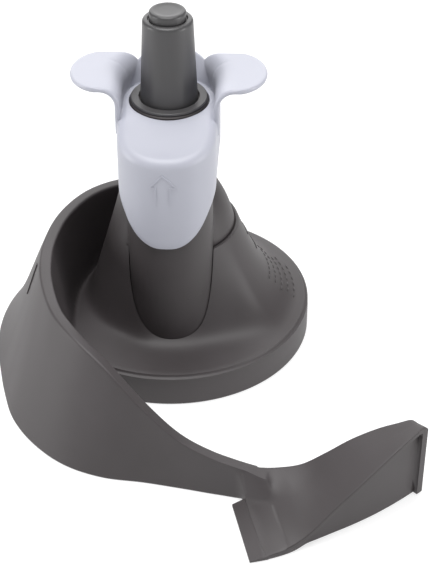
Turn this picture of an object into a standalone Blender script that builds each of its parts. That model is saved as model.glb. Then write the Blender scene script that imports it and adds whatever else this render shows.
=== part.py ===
"""Stirring paddle of a hot-air fryer, as separate mouldings with a lift-to-release latch.

Metres, +Z up.  Everything is laid out round the drive axis, and the root empty then moves the
whole paddle so that its lowest face stands at z = 0 with the middle of its box above the origin.
Azimuths are measured from +X towards +Y, and the latch housing faces -Y.
"""
import math

import bmesh
import bpy
from mathutils import Vector

MM = 0.001
GAP = 0.3 * MM                  # play between two separate pieces that touch

# Hub: a low round skirt that rises in a bell to a ring round the tower.
SKIRT_RADIUS = 50.0 * MM
SKIRT_HEIGHT = 12.0 * MM
POCKET_STEP = 6.0 * MM
RING_RADIUS = 24.0 * MM
RING_HEIGHT = 44.0 * MM
HUB_WALL = 2.6 * MM
FLANK_INSET = 2.4 * MM           # the ring is slimmer where the flank runs straight up
FLANK_SLOPE = 0.283             # outwards for each step down
FLANK_BLEND = 30.0 * MM * MM    # how softly the flank runs out into the skirt
HUB_CORE = 1.0 * MM
HUB_RIB_INNER = 34.0 * MM
HUB_RIB_OUTER = 37.0 * MM
HUB_RIB_FOOT = 6.3 * MM

# Tower: neck, column and the latch housing on its front.
BORE_RADIUS = 9.0 * MM
BORE_TOP = 80.0 * MM
BARREL_RADIUS = 20.0 * MM
COLUMN_RADIUS = 13.2 * MM
COLUMN_TOP = 93.6 * MM
HOUSING_RADIUS = 14.6 * MM
HOUSING_CENTRE_Y = -17.0 * MM
HOUSING_TOP = 81.2 * MM
TOWER_FOOT = 6.4 * MM
CHAMBER_HALF = 6.0 * MM
CHAMBER_FRONT_Y = -29.0 * MM
CHAMBER_BACK_Y = -14.5 * MM
CHAMBER_FOOT = 26.0 * MM
WINDOW_HALF = 4.8 * MM
WINDOW_LOW = 39.0 * MM
WINDOW_HIGH = 49.0 * MM

# Base plate and drive socket.
PLATE_RADIUS = 40.0 * MM
PLATE_LOW = 3.0 * MM
PLATE_HIGH = 6.0 * MM
SOCKET_RADIUS = 11.7 * MM
SOCKET_HIGH = 26.0 * MM
SOCKET_HEX = 7.4 * MM
SCREW_CIRCLE = 16.0 * MM
SCREW_AZIMUTHS = (30.0, 150.0, 270.0)

# Neck of the tower in millimetres: height, radius.
NECK_STATIONS = (
    (44.3, 22.5), (46.0, 22.2), (52.0, 20.2), (57.0, 17.8), (60.0, 15.9), (64.0, 14.1),
    (70.0, 13.2), (80.0, 13.2), (92.6, 13.2),
)
NECK_TIP_RADIUS = 12.4 * MM
HOUSING_FOOT = 30.0 * MM
HOUSING_BACK_HALF = 12.5 * MM
SCREW_HOLE_RADIUS = 1.6 * MM
PLATE_HOLE_RADIUS = 1.7 * MM

# Release slider: a sleeve over the housing with two finger ears and a tab behind, which all
# bend outwards like petals.
SLIDER_FRONT_RADIUS = 16.6 * MM
SLIDER_BACK_RADIUS = 17.5 * MM
SLIDER_WALL = 1.6 * MM
SLIDER_TOP = 93.2 * MM
SLIDER_SHOULDER = 88.0 * MM
SLIDER_ROLL = 3.5 * MM
SLIDER_CROWN = 2.2 * MM
SLIDER_BORE = 13.7 * MM
SLIDER_TRAVEL = 6.0 * MM
PETAL_TOP = 104.2 * MM
PETAL_FOOT = 87.0 * MM
PETAL_THICK = 1.8 * MM
PETAL_BEND = 6.0 * MM
EAR_MIDDLE, EAR_LENGTH, EAR_HALF = 22.0 * MM, 11.2 * MM, 13.3 * MM
EAR_CLIMB, EAR_TILT = PETAL_TOP - PETAL_THICK / 2 - PETAL_BEND, 90.0
TAB_MIDDLE, TAB_LENGTH, TAB_HALF = 8.2 * MM, 15.3 * MM, 14.6 * MM
TAB_CLIMB, TAB_TILT = 90.0 * MM, 36.0

# Lower edge of the slider in millimetres: distance behind the axis, height.
SLIDER_EDGE = (
    (-40.0, 54.0), (-33.2, 54.3), (-31.6, 56.2), (-30.1, 58.2), (-28.0, 61.2), (-25.8, 64.4),
    (-22.0, 68.0), (-15.0, 72.5), (-8.0, 75.5), (0.0, 77.5), (25.0, 79.0),
)

# Latch inside the housing.
ROD_RADIUS = 1.9 * MM
ROD_Y = -22.5 * MM
ROD_FOOT = 39.0 * MM
ROD_TOP = 87.4 * MM
ROD_COLLAR_RADIUS = 4.2 * MM
ROD_COLLAR_TOP = 58.0 * MM
CAM_PIN_RADIUS = 0.8 * MM
CAM_PIN_HALF = 3.6 * MM
CAM_LOW = 42.0 * MM
PAWL_TRAVEL = 3.0 * MM
SPRING_RADIUS = 3.6 * MM
SPRING_WIRE = 0.45 * MM
SPRING_TURNS = 6.0
STOP_LOW = 75.0 * MM
STOP_HIGH = 77.4 * MM
PAWL_HALF = 4.2 * MM
PAWL_SLOT_HALF = 2.3 * MM

# Outline of the pawl in millimetres, seen from the side: distance behind the axis, height.
PAWL_SIDE = (
    (-25.7, 37.0), (-14.8, 37.0), (-14.8, 40.0), (-8.0, 40.0), (-6.6, 42.0), (-6.6, 45.0),
    (-9.0, 48.0), (-14.8, 48.0), (-14.8, 53.0), (-25.7, 53.0),
)

# Stem and its button.
STEM_FOOT_RADIUS = 9.8 * MM
STEM_SHOULDER_RADIUS = 8.5 * MM
STEM_TOP = 123.6 * MM
STEM_SOCKET = (4.3 * MM, 9.3 * MM)        # radius and depth of the hole for the button's stalk
SEAL_INNER, SEAL_OUTER = 10.3 * MM, 13.0 * MM
SEAL_LOW, SEAL_HIGH = 93.9 * MM, 94.5 * MM

# Button in millimetres: radius, height above the end of the stem.
BUTTON_PROFILE = ((4.0, -9.0), (4.0, 0.3), (6.2, 0.3), (6.2, 2.2), (5.4, 3.0))

# Base screw in millimetres: radius, height.
SCREW_PROFILE = ((3.0, 1.2), (3.0, 2.7), (1.3, 2.7), (1.3, 14.0), (0.5, 15.4))

# Spiral wall and arm: azimuth in degrees, foot radius, top radius, top height and inner foot
# radius, the last four in millimetres.
WALL_THICK = 4.0 * MM
WALL_HOLLOW_SKIN = 3.0 * MM
WALL_STATIONS = (
    (85, 52.0, 27.2, 44.0, 24.0),
    (105, 54.0, 30.0, 44.0, 25.5),
    (125, 56.5, 33.5, 44.0, 28.0),
    (145, 59.0, 36.6, 44.0, 30.5),
    (168, 62.3, 39.8, 44.0, 32.0),
    (189, 65.2, 44.3, 44.0, 34.5),
    (205, 68.6, 50.0, 44.0, 37.5),
    (216, 73.2, 55.3, 44.0, 43.0),
    (226, 79.2, 61.2, 44.0, 60.0),
    (236, 84.2, 68.4, 44.0, 78.0),
    (246, 88.2, 74.8, 42.7, 83.4),
    (255, 89.7, 79.4, 37.5, 85.3),
    (264, 89.8, 84.0, 26.5, 85.6),
    (272, 92.4, 89.6, 17.8, 88.3),
    (279, 96.6, 95.2, 13.6, 92.0),
    (283, 99.8, 98.9, 12.3, 95.4),
)

# Scoop blade: azimuth in degrees, then radius and height in millimetres of its back edge, of the
# lip where the ramp starts, of the foot of the fillet and of the outer ridge.
BLADE_STATIONS = (
    (281.0, 92.2, 12.8, 95.4, 13.2, 99.0, 1.8, 128.0, 1.4),
    (284.0, 95.8, 12.0, 100.0, 12.0, 105.0, 3.0, 127.8, 1.6),
    (287.0, 98.9, 11.8, 104.4, 10.8, 110.0, 5.6, 127.2, 2.6),
    (290.0, 100.8, 11.9, 106.6, 10.6, 112.6, 8.8, 126.6, 5.6),
    (294.0, 103.4, 13.0, 107.4, 12.6, 113.4, 12.4, 125.8, 12.0),
    (298.0, 106.0, 17.0, 109.4, 17.0, 114.6, 17.2, 125.5, 17.6),
    (302.0, 108.8, 21.4, 112.2, 21.4, 116.6, 21.8, 125.3, 22.6),
    (306.0, 112.6, 24.8, 116.0, 24.8, 119.4, 25.4, 125.1, 26.5),
    (309.4, 117.6, 27.6, 119.4, 27.4, 121.6, 27.8, 125.0, 28.4),
    (310.3, 118.5, 27.5, 120.2, 27.4, 122.2, 27.7, 125.0, 28.1),
    (310.8, 119.0, 26.6, 120.6, 26.5, 122.4, 26.8, 125.0, 27.2),
)
BLADE_SKIN = 2.4 * MM
BLADE_RECESS = 1.6 * MM
END_PLATE_FROM = 309.7
TONGUE_START = 281.0
TONGUE_RADII = (102.5 * MM, 128.0 * MM)


def spline(stations, column, at):
    """Read one column of a station table as a smooth curve of its first column."""
    xs = [row[0] for row in stations]
    ys = [row[column] for row in stations]
    last = len(xs) - 1
    i = max(0, min(last - 1, sum(1 for x in xs if x <= at) - 1))

    def slope(k):
        a, b = max(0, k - 1), min(last, k + 1)
        return (ys[b] - ys[a]) / (xs[b] - xs[a])

    width = xs[i + 1] - xs[i]
    t = (at - xs[i]) / width
    return ((2 * t ** 3 - 3 * t ** 2 + 1) * ys[i] + (t ** 3 - 2 * t ** 2 + t) * width * slope(i)
            + (3 * t ** 2 - 2 * t ** 3) * ys[i + 1] + (t ** 3 - t ** 2) * width * slope(i + 1))


def smooth_step(value, low, high):
    t = max(0.0, min(1.0, (value - low) / (high - low)))
    return t * t * (3 - 2 * t)


def polar(azimuth, radius, height):
    a = math.radians(azimuth)
    return (radius * math.cos(a), radius * math.sin(a), height)


def arc(centre, radius, start, end, count):
    """Points on a flat arc, with both ends."""
    steps = [math.radians(start + (end - start) * i / count) for i in range(count + 1)]
    return [(centre[0] + radius * math.cos(a), centre[1] + radius * math.sin(a)) for a in steps]


def material(name, colour, roughness, metallic=0.0):
    mat = bpy.data.materials.new(name)
    mat.use_nodes = True
    shader = mat.node_tree.nodes["Principled BSDF"]
    shader.inputs["Base Color"].default_value = (*colour, 1.0)
    shader.inputs["Roughness"].default_value = roughness
    shader.inputs["Metallic"].default_value = metallic
    return mat


def add_object(name, mesh_data, mat=None, smooth=True):
    mesh_data.normal_update()
    mesh = bpy.data.meshes.new(name)
    mesh_data.to_mesh(mesh)
    mesh_data.free()
    if smooth:
        mesh.shade_smooth()
        mesh.set_sharp_from_angle(angle=math.radians(35))
    obj = bpy.data.objects.new(name, mesh)
    bpy.context.scene.collection.objects.link(obj)
    if mat:
        mesh.materials.append(mat)
    obj.parent = root
    return obj


def loft(sections, closed=False):
    """Skin a list of closed sections; the ends are capped unless the loft closes on itself."""
    bm = bmesh.new()
    rings = [[bm.verts.new(p) for p in section] for section in sections]
    pairs = list(zip(rings, rings[1:]))
    if closed:
        pairs.append((rings[-1], rings[0]))
    for a, b in pairs:
        for i in range(len(a)):
            j = (i + 1) % len(a)
            bm.faces.new((a[i], a[j], b[j], b[i]))
    if not closed:
        bm.faces.new(rings[0][::-1])
        bm.faces.new(rings[-1])
    bmesh.ops.recalc_face_normals(bm, faces=bm.faces)
    if bm.calc_volume(signed=True) < 0.0:
        bmesh.ops.reverse_faces(bm, faces=bm.faces)
    bmesh.ops.triangulate(bm, faces=bm.faces)
    return bm


def turned(profile, steps=48):
    """Turn a closed (radius, height) outline that doesn't touch the axis into a ring."""
    sections = [[polar(360 * i / steps, r, z) for r, z in profile] for i in range(steps)]
    return loft(sections, closed=True)


def turned_solid(profile, steps=48):
    """Turn an open (radius, height) outline, bottom to top, into a body with flat ends."""
    return loft([[polar(360 * i / steps, r, z) for i in range(steps)] for r, z in profile])


def prism(outline, low, high):
    return loft([[(x, y, z) for x, y in outline] for z in (low, high)])


def box(low, high):
    (x0, y0, z0), (x1, y1, z1) = low, high
    return prism([(x0, y0), (x1, y0), (x1, y1), (x0, y1)], z0, z1)


def boolean(target, tool, operation):
    """Cut or join with a helper object that stays in the file as a hidden wire."""
    tool.hide_render = True
    tool.display_type = "WIRE"
    mod = target.modifiers.new(tool.name, "BOOLEAN")
    mod.operation = operation
    mod.solver = "EXACT"
    mod.object = tool


def cut(target, name, mesh_data):
    boolean(target, add_object(name, mesh_data, smooth=False), "DIFFERENCE")


def join(target, name, mesh_data):
    boolean(target, add_object(name, mesh_data, smooth=False), "UNION")


# ---- hub ---------------------------------------------------------------------------------------

def pocket_share(azimuth):
    """1 where the spiral wall stands outside the hub, 0 where the skirt is free."""
    a = azimuth % 360.0
    return smooth_step(a, 70.0, 130.0) * (1.0 - smooth_step(a, 215.0, 240.0))


def skirt_radius(azimuth):
    return SKIRT_RADIUS - POCKET_STEP * pocket_share(azimuth)


def flank_share(azimuth):
    """1 on the pocket's side, where the flank runs straight up into the neck without a step."""
    a = azimuth % 360.0
    return smooth_step(a, 95.0, 150.0) * (1.0 - smooth_step(a, 238.0, 262.0))


def ring_radius(azimuth):
    return RING_RADIUS - FLANK_INSET * flank_share(azimuth)


def bell_height(radius, azimuth):
    """The bell sweeps gently behind and steeply in front, and is straight in the pocket."""
    a = (azimuth + 90.0) % 360.0
    front = 1.0 - smooth_step(min(a, 360.0 - a), 15.0, 62.0)
    rise, ring = RING_HEIGHT - SKIRT_HEIGHT, ring_radius(azimuth)
    t = max(0.0, min(1.0, (radius - ring) / (skirt_radius(azimuth) - ring)))
    sweep = rise * (1.0 - t) ** (2.2 + 5.0 * front)
    straight = rise - (radius - ring) / FLANK_SLOPE
    cone = (straight + math.sqrt(straight ** 2 + FLANK_BLEND)) / 2 - FLANK_BLEND / 4 / rise
    steep = flank_share(azimuth)
    return SKIRT_HEIGHT + sweep * (1.0 - steep) + max(0.0, cone) * steep


def bell_profile(azimuth, grow=0.0):
    """Outer face of the hub at an azimuth, from the foot of the skirt to the ring."""
    edge = 1.2 * MM
    rim = skirt_radius(azimuth)
    points = [(rim + grow, -3.0 * grow), (rim + grow, SKIRT_HEIGHT - edge + grow)]
    for k in range(9):
        ring = ring_radius(azimuth)
        radius = ring + (rim - edge - ring) * (1.0 - k / 8.0) ** 1.6
        points.append((radius + grow, bell_height(radius, azimuth) + grow))
    return points


def bell_underside(azimuth):
    """Inner face of the hub at an azimuth, from the ring to the foot, with the clamping rib."""
    rim = skirt_radius(azimuth) - HUB_WALL
    start = max(BARREL_RADIUS + 2 * GAP, ring_radius(azimuth) - HUB_WALL)
    points = []
    for k in range(6):
        r = start + (HUB_RIB_INNER - start) * k / 5
        points.append((r, bell_height(r + HUB_WALL, azimuth) - HUB_WALL))
    points += [(HUB_RIB_INNER, HUB_RIB_FOOT), (HUB_RIB_OUTER, HUB_RIB_FOOT)]
    for r in (HUB_RIB_OUTER, (rim + HUB_RIB_OUTER) / 2, rim):
        points.append((r, bell_height(r + HUB_WALL, azimuth) - HUB_WALL))
    return points + [(rim, 0.0)]


def bell_shell():
    """The hub moulding: bell and skirt of one wall thickness, open below."""
    sections = []
    hole = BARREL_RADIUS + GAP
    for step in range(72):
        azimuth = 5.0 * step
        points = bell_profile(azimuth) + [(hole, RING_HEIGHT), (hole, RING_HEIGHT - HUB_WALL)]
        sections.append([polar(azimuth, r, z) for r, z in points + bell_underside(azimuth)])
    return loft(sections, closed=True)


def bell_envelope():
    """Everything under the bell and a little more, for trimming what stands beside the hub."""
    sections = []
    for step in range(72):
        azimuth = 5.0 * step
        points = bell_profile(azimuth, GAP)
        points += [(HUB_CORE, RING_HEIGHT + GAP), (HUB_CORE, -3.0 * GAP)]
        sections.append([polar(azimuth, r, z) for r, z in points])
    return loft(sections, closed=True)


def tower_outline(grow=0.0, steps=16):
    """Plan of the tower below the neck: round barrel with the housing in front."""
    radius = HOUSING_RADIUS + grow
    barrel = BARREL_RADIUS + grow
    start = math.degrees(math.asin(radius / barrel))
    points = arc((0.0, 0.0), barrel, -90.0 + start, 270.0 - start, 2 * steps)
    points += arc((0.0, HOUSING_CENTRE_Y), radius, 180.0, 360.0, steps)
    return points


def build_hub(mat):
    hub = add_object("hub_skirt", bell_shell(), mat)
    cut(hub, "hub_tower_cut", prism(tower_outline(GAP), -3 * MM, 60 * MM))
    return hub


# ---- spiral wall and arm -----------------------------------------------------------------------

def wall_face(azimuth, height, inset=0.0):
    """Outer and inner radius of the wall at a height, each moved into the wall by inset."""
    foot, top, crest, inner = (spline(WALL_STATIONS, k, azimuth) * MM for k in (1, 2, 3, 4))
    ahead = spline(WALL_STATIONS, 2, min(azimuth + 1.0, 283.0)) * MM
    behind = spline(WALL_STATIONS, 2, max(azimuth - 1.0, 85.0)) * MM
    lean = math.atan2(ahead - behind, 2.0 * math.radians(1.0) * top)
    thick = WALL_THICK / math.cos(lean)
    t = min(1.0, max(0.0, height / crest))
    bow = 1.0 - 0.16 * math.sin(math.pi * t) * (1.0 - smooth_step(azimuth, 150.0, 230.0))
    outer = top + (foot - top) * (1.0 - t) * bow
    return outer - inset, top - thick + (inner - top + thick) * (1.0 - t) + inset


def wall_section(azimuth):
    crest = spline(WALL_STATIONS, 3, azimuth) * MM
    soft = 1.0 * MM
    points = []
    for share in (0.0, 0.25, 0.5, 0.75):
        z = share * (crest - soft)
        points.append((wall_face(azimuth, z)[0], z))
    outer, inner = wall_face(azimuth, crest - soft)
    points += [(outer, crest - soft), (outer - soft, crest), (inner + soft, crest), (inner, crest - soft)]
    for share in (0.66, 0.33, 0.0):
        z = share * (crest - soft)
        points.append((wall_face(azimuth, z)[1], z))
    return [polar(azimuth, r, z) for r, z in points]


def build_wall(mat):
    azimuths = [85.0 + 198.0 * i / 66 for i in range(67)]
    wall = add_object("spiral_wall", loft([wall_section(a) for a in azimuths]), mat)
    hollow = []
    skin = WALL_HOLLOW_SKIN
    low, ledge, high = -2.0 * MM, SKIRT_HEIGHT + 3.0 * MM, 31.0 * MM
    for i in range(24):
        azimuth = 150.0 + 3.1 * i
        outer = [wall_face(azimuth, z, skin)[0] for z in (0.0, ledge, high)]
        inner_high = min(wall_face(azimuth, high, skin)[1], outer[2] - 1.0 * MM)
        inner_ledge = min(wall_face(azimuth, ledge, skin)[1], outer[1] - 3.0 * MM)
        inner_low = max(skirt_radius(azimuth) + skin, inner_ledge)
        points = [(outer[0], low), (outer[1], ledge), (outer[2], high), (inner_high, high)]
        points += [(inner_ledge, ledge), (inner_low, ledge - 0.5 * MM), (inner_low, low)]
        hollow.append([polar(azimuth, r, z) for r, z in points])
    cut(wall, "wall_hollow_cut", loft(hollow))
    cut(wall, "wall_hub_cut", bell_envelope())
    return wall


# ---- scoop blade -------------------------------------------------------------------------------

def blade_column(azimuth):
    """Back edge, lip, fillet foot and ridge of the blade at an azimuth, as (radius, height)."""
    values = [spline(BLADE_STATIONS, k, azimuth) * MM for k in range(1, 9)]
    return list(zip(values[0::2], values[1::2]))


def blade_section(azimuth):
    back, lip, foot, ridge = blade_column(azimuth)
    under = max(0.5 * MM, ridge[1] - BLADE_SKIN)
    recess = BLADE_RECESS * smooth_step(ridge[1], 2.0 * MM, 6.0 * MM)
    base = ridge[0] - (recess if azimuth < END_PLATE_FROM else 0.0)
    points = [(back[0], 0.0), (base, 0.0), (base, under), (ridge[0], ridge[1] - 0.6 * MM)]
    points += [(ridge[0] - 0.6 * MM, ridge[1]), foot, lip, back]
    return [polar(azimuth, r, z) for r, z in points]


def build_blade(mat):
    azimuths = [283.3 + 26.3 * i / 21 for i in range(22)] + [END_PLATE_FROM, 310.3, 310.8]
    blade = add_object("scoop_blade", loft([blade_section(a) for a in azimuths]), mat)
    # The ramp runs out in a thin tongue beside the end of the arm.
    inner, outer = TONGUE_RADII
    tongue = []
    for i in range(4):
        turn = 0.9 * i
        high, low = (0.7 + 0.75 * turn) * MM, (0.6 + 0.32 * turn) * MM
        tongue.append([polar(TONGUE_START + turn, r, z) for r, z in
                       ((inner, 0.0), (outer, 0.0), (outer, low), (inner, high))])
    join(blade, "blade_tongue", loft(tongue))
    hollow = []
    for i in range(10):
        azimuth = 291.0 + 1.8 * i
        back, lip, foot, ridge = blade_column(azimuth)
        base = ridge[0] - BLADE_RECESS - BLADE_SKIN
        inner = back[0] + BLADE_SKIN
        middle = (base + inner) / 2
        points = [(inner, -2.0 * MM), (base, -2.0 * MM)]
        for r in (base, middle, inner):
            t = max(0.0, min(1.0, (r - lip[0]) / (ridge[0] - lip[0])))
            points.append((r, lip[1] + (ridge[1] - lip[1]) * t - 1.5 * BLADE_SKIN))
        hollow.append([polar(azimuth, r, z) for r, z in points])
    cut(blade, "blade_hollow_cut", loft(hollow))
    slot = [(309.0, 24.6 * MM), (END_PLATE_FROM, 25.2 * MM), (END_PLATE_FROM, 0.9 * MM), (307.7, 0.9 * MM)]
    slot_cut = [[polar(a, r * MM, z) for a, z in slot] for r in (119.0, 130.0)]
    cut(blade, "blade_slot_cut", loft(slot_cut))
    return blade


# ---- tower -------------------------------------------------------------------------------------

def neck_radius(height, azimuth):
    """The neck is waisted, except over the pocket, where it carries on the hub's flank."""
    waist = spline(NECK_STATIONS, 1, height / MM) * MM
    straight = RING_RADIUS - FLANK_INSET - (height - RING_HEIGHT) * FLANK_SLOPE
    straight += (waist - straight) * smooth_step(height, 50.0 * MM, 64.0 * MM)
    return waist + (min(straight, waist) - waist) * flank_share(azimuth)


def build_tower(mat):
    azimuths = [360.0 * i / 56 for i in range(56)]
    neck = [[polar(a, neck_radius(z * MM, a), z * MM) for a in azimuths] for z, _ in NECK_STATIONS]
    neck.append([polar(a, NECK_TIP_RADIUS, COLUMN_TOP) for a in azimuths])
    tower = add_object("hub_tower", loft(neck), mat)
    join(tower, "tower_barrel", prism(tower_outline(0.0), TOWER_FOOT, RING_HEIGHT + 1.0 * MM))
    housing = arc((0.0, HOUSING_CENTRE_Y), HOUSING_RADIUS, 180.0, 360.0, 20)
    housing += [(HOUSING_BACK_HALF, 0.0), (-HOUSING_BACK_HALF, 0.0)]
    join(tower, "tower_housing", prism(housing, HOUSING_FOOT, HOUSING_TOP))
    bore = [(BORE_RADIUS, TOWER_FOOT - 5 * MM), (BORE_RADIUS, BORE_TOP - 4 * MM), (2.0 * MM, BORE_TOP)]
    cut(tower, "tower_bore_cut", turned_solid(bore, 40))
    pocket = [(SOCKET_RADIUS + GAP, TOWER_FOOT - 5 * MM), (SOCKET_RADIUS + GAP, SOCKET_HIGH + GAP)]
    cut(tower, "tower_socket_cut", turned_solid(pocket, 40))
    cut(tower, "tower_chamber_cut", box((-CHAMBER_HALF, CHAMBER_FRONT_Y, CHAMBER_FOOT),
                                        (CHAMBER_HALF, CHAMBER_BACK_Y, HOUSING_TOP + 9 * MM)))
    cut(tower, "tower_window_cut", box((-WINDOW_HALF, CHAMBER_BACK_Y - 1 * MM, WINDOW_LOW),
                                       (WINDOW_HALF, -6.0 * MM, WINDOW_HIGH)))
    for i, azimuth in enumerate(SCREW_AZIMUTHS):
        x, y, _ = polar(azimuth, SCREW_CIRCLE, 0.0)
        hole = [(x + dx, y + dy) for dx, dy in arc((0, 0), SCREW_HOLE_RADIUS, 0.0, 337.5, 15)]
        cut(tower, "tower_screw_cut_%d" % (i + 1), prism(hole, TOWER_FOOT - 3 * MM, TOWER_FOOT + 13 * MM))
    return tower


def build_stem(stem_mat, button_mat):
    profile = [(STEM_FOOT_RADIUS, COLUMN_TOP + GAP), (STEM_SHOULDER_RADIUS, STEM_TOP - 1.2 * MM)]
    profile += [(STEM_SHOULDER_RADIUS - 1.0 * MM, STEM_TOP)]
    stem = add_object("stem", turned_solid(profile, 48), stem_mat)
    radius, depth = STEM_SOCKET
    socket = [(radius, STEM_TOP - depth), (radius, STEM_TOP + 5 * MM)]
    cut(stem, "stem_socket_cut", turned_solid(socket, 32))
    button = [(r * MM, STEM_TOP + z * MM) for r, z in BUTTON_PROFILE]
    add_object("stem_button", turned_solid(button, 40), button_mat)
    ring = [(SEAL_INNER, SEAL_LOW), (SEAL_OUTER, SEAL_LOW), (SEAL_OUTER, SEAL_HIGH), (SEAL_INNER, SEAL_HIGH)]
    add_object("stem_seal", turned(ring, 48), button_mat)


# ---- release slider ----------------------------------------------------------------------------

def sleeve_outline(inset, steps=18):
    """Plan of the slider: round behind, rounder half circle in front, straight flanks."""
    front = SLIDER_FRONT_RADIUS - inset
    points = arc((0.0, HOUSING_CENTRE_Y), front, 180.0, 360.0, steps)
    return points + arc((0.0, 0.0), SLIDER_BACK_RADIUS - inset, 0.0, 180.0, steps)


def sleeve_body(inset, low, crown):
    """Sleeve with a crown that slopes to the front and a rolled edge."""
    def top(y):
        fall = smooth_step(-y, 10.0 * MM, 36.0 * MM)
        return crown - (SLIDER_TOP - SLIDER_SHOULDER) * fall

    sections = [[(x, y, low) for x, y in sleeve_outline(inset)]]
    for angle in (0, 30, 60, 90):
        shrink = SLIDER_ROLL * (1 - math.cos(math.radians(angle)))
        drop = SLIDER_ROLL * (1 - math.sin(math.radians(angle)))
        sections.append([(x, y, top(y) - drop) for x, y in sleeve_outline(inset + shrink)])
    return loft(sections)


def petal_strip(base, end, climb, tilt, swell):
    """Strip across a petal: up the wall from its base, round the bend to its tilt and on to its end."""
    reach = max(0.0, end - base - PETAL_THICK / 2)
    turned_by = min(math.radians(tilt), math.acos(max(0.0, 1.0 - reach / PETAL_BEND)))
    path = [(base, PETAL_FOOT, 0.0)]
    for k in range(7):
        a = turned_by * k / 6
        path.append((base + PETAL_BEND * (1 - math.cos(a)), climb + PETAL_BEND * math.sin(a), a))
    u, z, a = path[-1]
    rest = max(0.02 * MM, (base + reach - u) / max(0.1, math.sin(a)))
    path.append((u + rest * math.sin(a), z + rest * math.cos(a), a))
    half = PETAL_THICK / 2 * swell
    outer = [(u + half * math.cos(a), z - half * math.sin(a)) for u, z, a in path]
    inner = [(u - half * math.cos(a), z + half * math.sin(a)) for u, z, a in path]
    return outer + inner[::-1]


def back_wall(across):
    """Distance from the axis plane to the sleeve's round wall, which is straight in front."""
    return math.sqrt(SLIDER_BACK_RADIUS ** 2 - max(0.0, across) ** 2)


def petal(middle, length, half_width, climb, tilt, base_of, place, count=16):
    """Sheet that bends out of the sleeve's wall and ends in half an ellipse."""
    rows = []
    for k in range(count + 1):
        across = -0.999 * half_width * math.cos(math.pi * k / count)
        end = middle + length * math.sqrt(1.0 - (across / half_width) ** 2)
        swell = 0.3 if k in (0, count) else 1.0
        strip = petal_strip(base_of(across) - PETAL_THICK / 2 - 0.05 * MM, end, climb, tilt, swell)
        rows.append([place(across, u, z) for u, z in strip])
    return loft(rows)


def build_slider(mat):
    slider = add_object("release_slider", sleeve_body(0.0, 45.0 * MM, SLIDER_TOP), mat)
    tab = petal(TAB_MIDDLE, TAB_LENGTH, TAB_HALF, TAB_CLIMB, TAB_TILT, lambda x: back_wall(abs(x)),
                lambda x, u, z: (x, u, z))
    join(slider, "slider_tab", tab)
    for side, word in ((-1, "left"), (1, "right")):
        ear = petal(EAR_MIDDLE, EAR_LENGTH, EAR_HALF, EAR_CLIMB, EAR_TILT, back_wall,
                    lambda y, u, z: (side * u, y, z))
        join(slider, "slider_ear_" + word, ear)
    cut(slider, "slider_inside_cut", sleeve_body(SLIDER_WALL, 40.0 * MM, SLIDER_TOP - SLIDER_CROWN))
    bore = [(SLIDER_BORE, 85.0 * MM), (SLIDER_BORE, 115.0 * MM)]
    cut(slider, "slider_bore_cut", turned_solid(bore, 48))
    # The lower edge runs from the tip of the shield up along both flanks to the back.
    edge = SLIDER_EDGE + ((25.0, 30.0), (-40.0, 30.0))
    trim = [[(x, y * MM, z * MM) for y, z in edge] for x in (-25 * MM, 25 * MM)]
    cut(slider, "slider_edge_cut", loft(trim))
    return slider


# ---- latch -------------------------------------------------------------------------------------

def shifted(mesh_data, offset):
    bmesh.ops.translate(mesh_data, verts=mesh_data.verts, vec=Vector(offset))
    return mesh_data


def cross_pin(radius, y, z, half, steps=16):
    """Round bar along X."""
    half_step = 180.0 / steps
    ring = arc((y, z), radius, half_step, 360.0 - half_step, steps - 1)
    return loft([[(x, a, b) for a, b in ring] for x in (-half, half)])


def build_rod(mat):
    rod = [(ROD_RADIUS, ROD_FOOT), (ROD_RADIUS, ROD_COLLAR_TOP - 2.0 * MM)]
    rod += [(ROD_COLLAR_RADIUS, ROD_COLLAR_TOP - 2.0 * MM), (ROD_COLLAR_RADIUS, ROD_COLLAR_TOP)]
    rod += [(ROD_RADIUS, ROD_COLLAR_TOP), (ROD_RADIUS, ROD_TOP)]
    rod = add_object("lift_rod", shifted(turned_solid(rod, 24), (0, ROD_Y, 0)), mat)
    cut(rod, "rod_pin_cut", cross_pin(CAM_PIN_RADIUS + GAP / 2, ROD_Y, CAM_LOW, 5.0 * MM))
    add_object("cam_pin", cross_pin(CAM_PIN_RADIUS, ROD_Y, CAM_LOW, CAM_PIN_HALF), mat)


def build_spring_stop(mat):
    half, front, back = CHAMBER_HALF - GAP, CHAMBER_FRONT_Y + GAP, CHAMBER_BACK_Y - GAP
    plate = add_object("spring_stop", box((-half, front, STOP_LOW), (half, back, STOP_HIGH)), mat)
    hole = arc((0.0, ROD_Y), ROD_RADIUS + GAP, 0.0, 337.5, 15)
    cut(plate, "stop_hole_cut", prism(hole, STOP_LOW - 2 * MM, STOP_HIGH + 2 * MM))


def build_spring(mat):
    low = ROD_COLLAR_TOP + GAP + SPRING_WIRE
    high = STOP_LOW - GAP - SPRING_WIRE
    coil = bpy.data.curves.new("slider_spring", "CURVE")
    coil.dimensions = "3D"
    coil.bevel_depth = SPRING_WIRE
    coil.bevel_resolution = 1
    coil.use_fill_caps = True
    line = coil.splines.new("POLY")
    count = 96
    line.points.add(count)
    for i in range(count + 1):
        turn = SPRING_TURNS * i / count
        ends = smooth_step(turn, 0.0, 1.0) + smooth_step(turn, SPRING_TURNS - 1.0, SPRING_TURNS)
        share = 0.06 * ends + 0.88 * i / count
        x, y, _ = polar(360.0 * turn, SPRING_RADIUS, 0.0)
        line.points[i].co = (x, ROD_Y + y, low + (high - low) * share, 1.0)
    spring = bpy.data.objects.new("slider_spring", coil)
    coil.materials.append(mat)
    bpy.context.scene.collection.objects.link(spring)
    spring.parent = root


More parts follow.
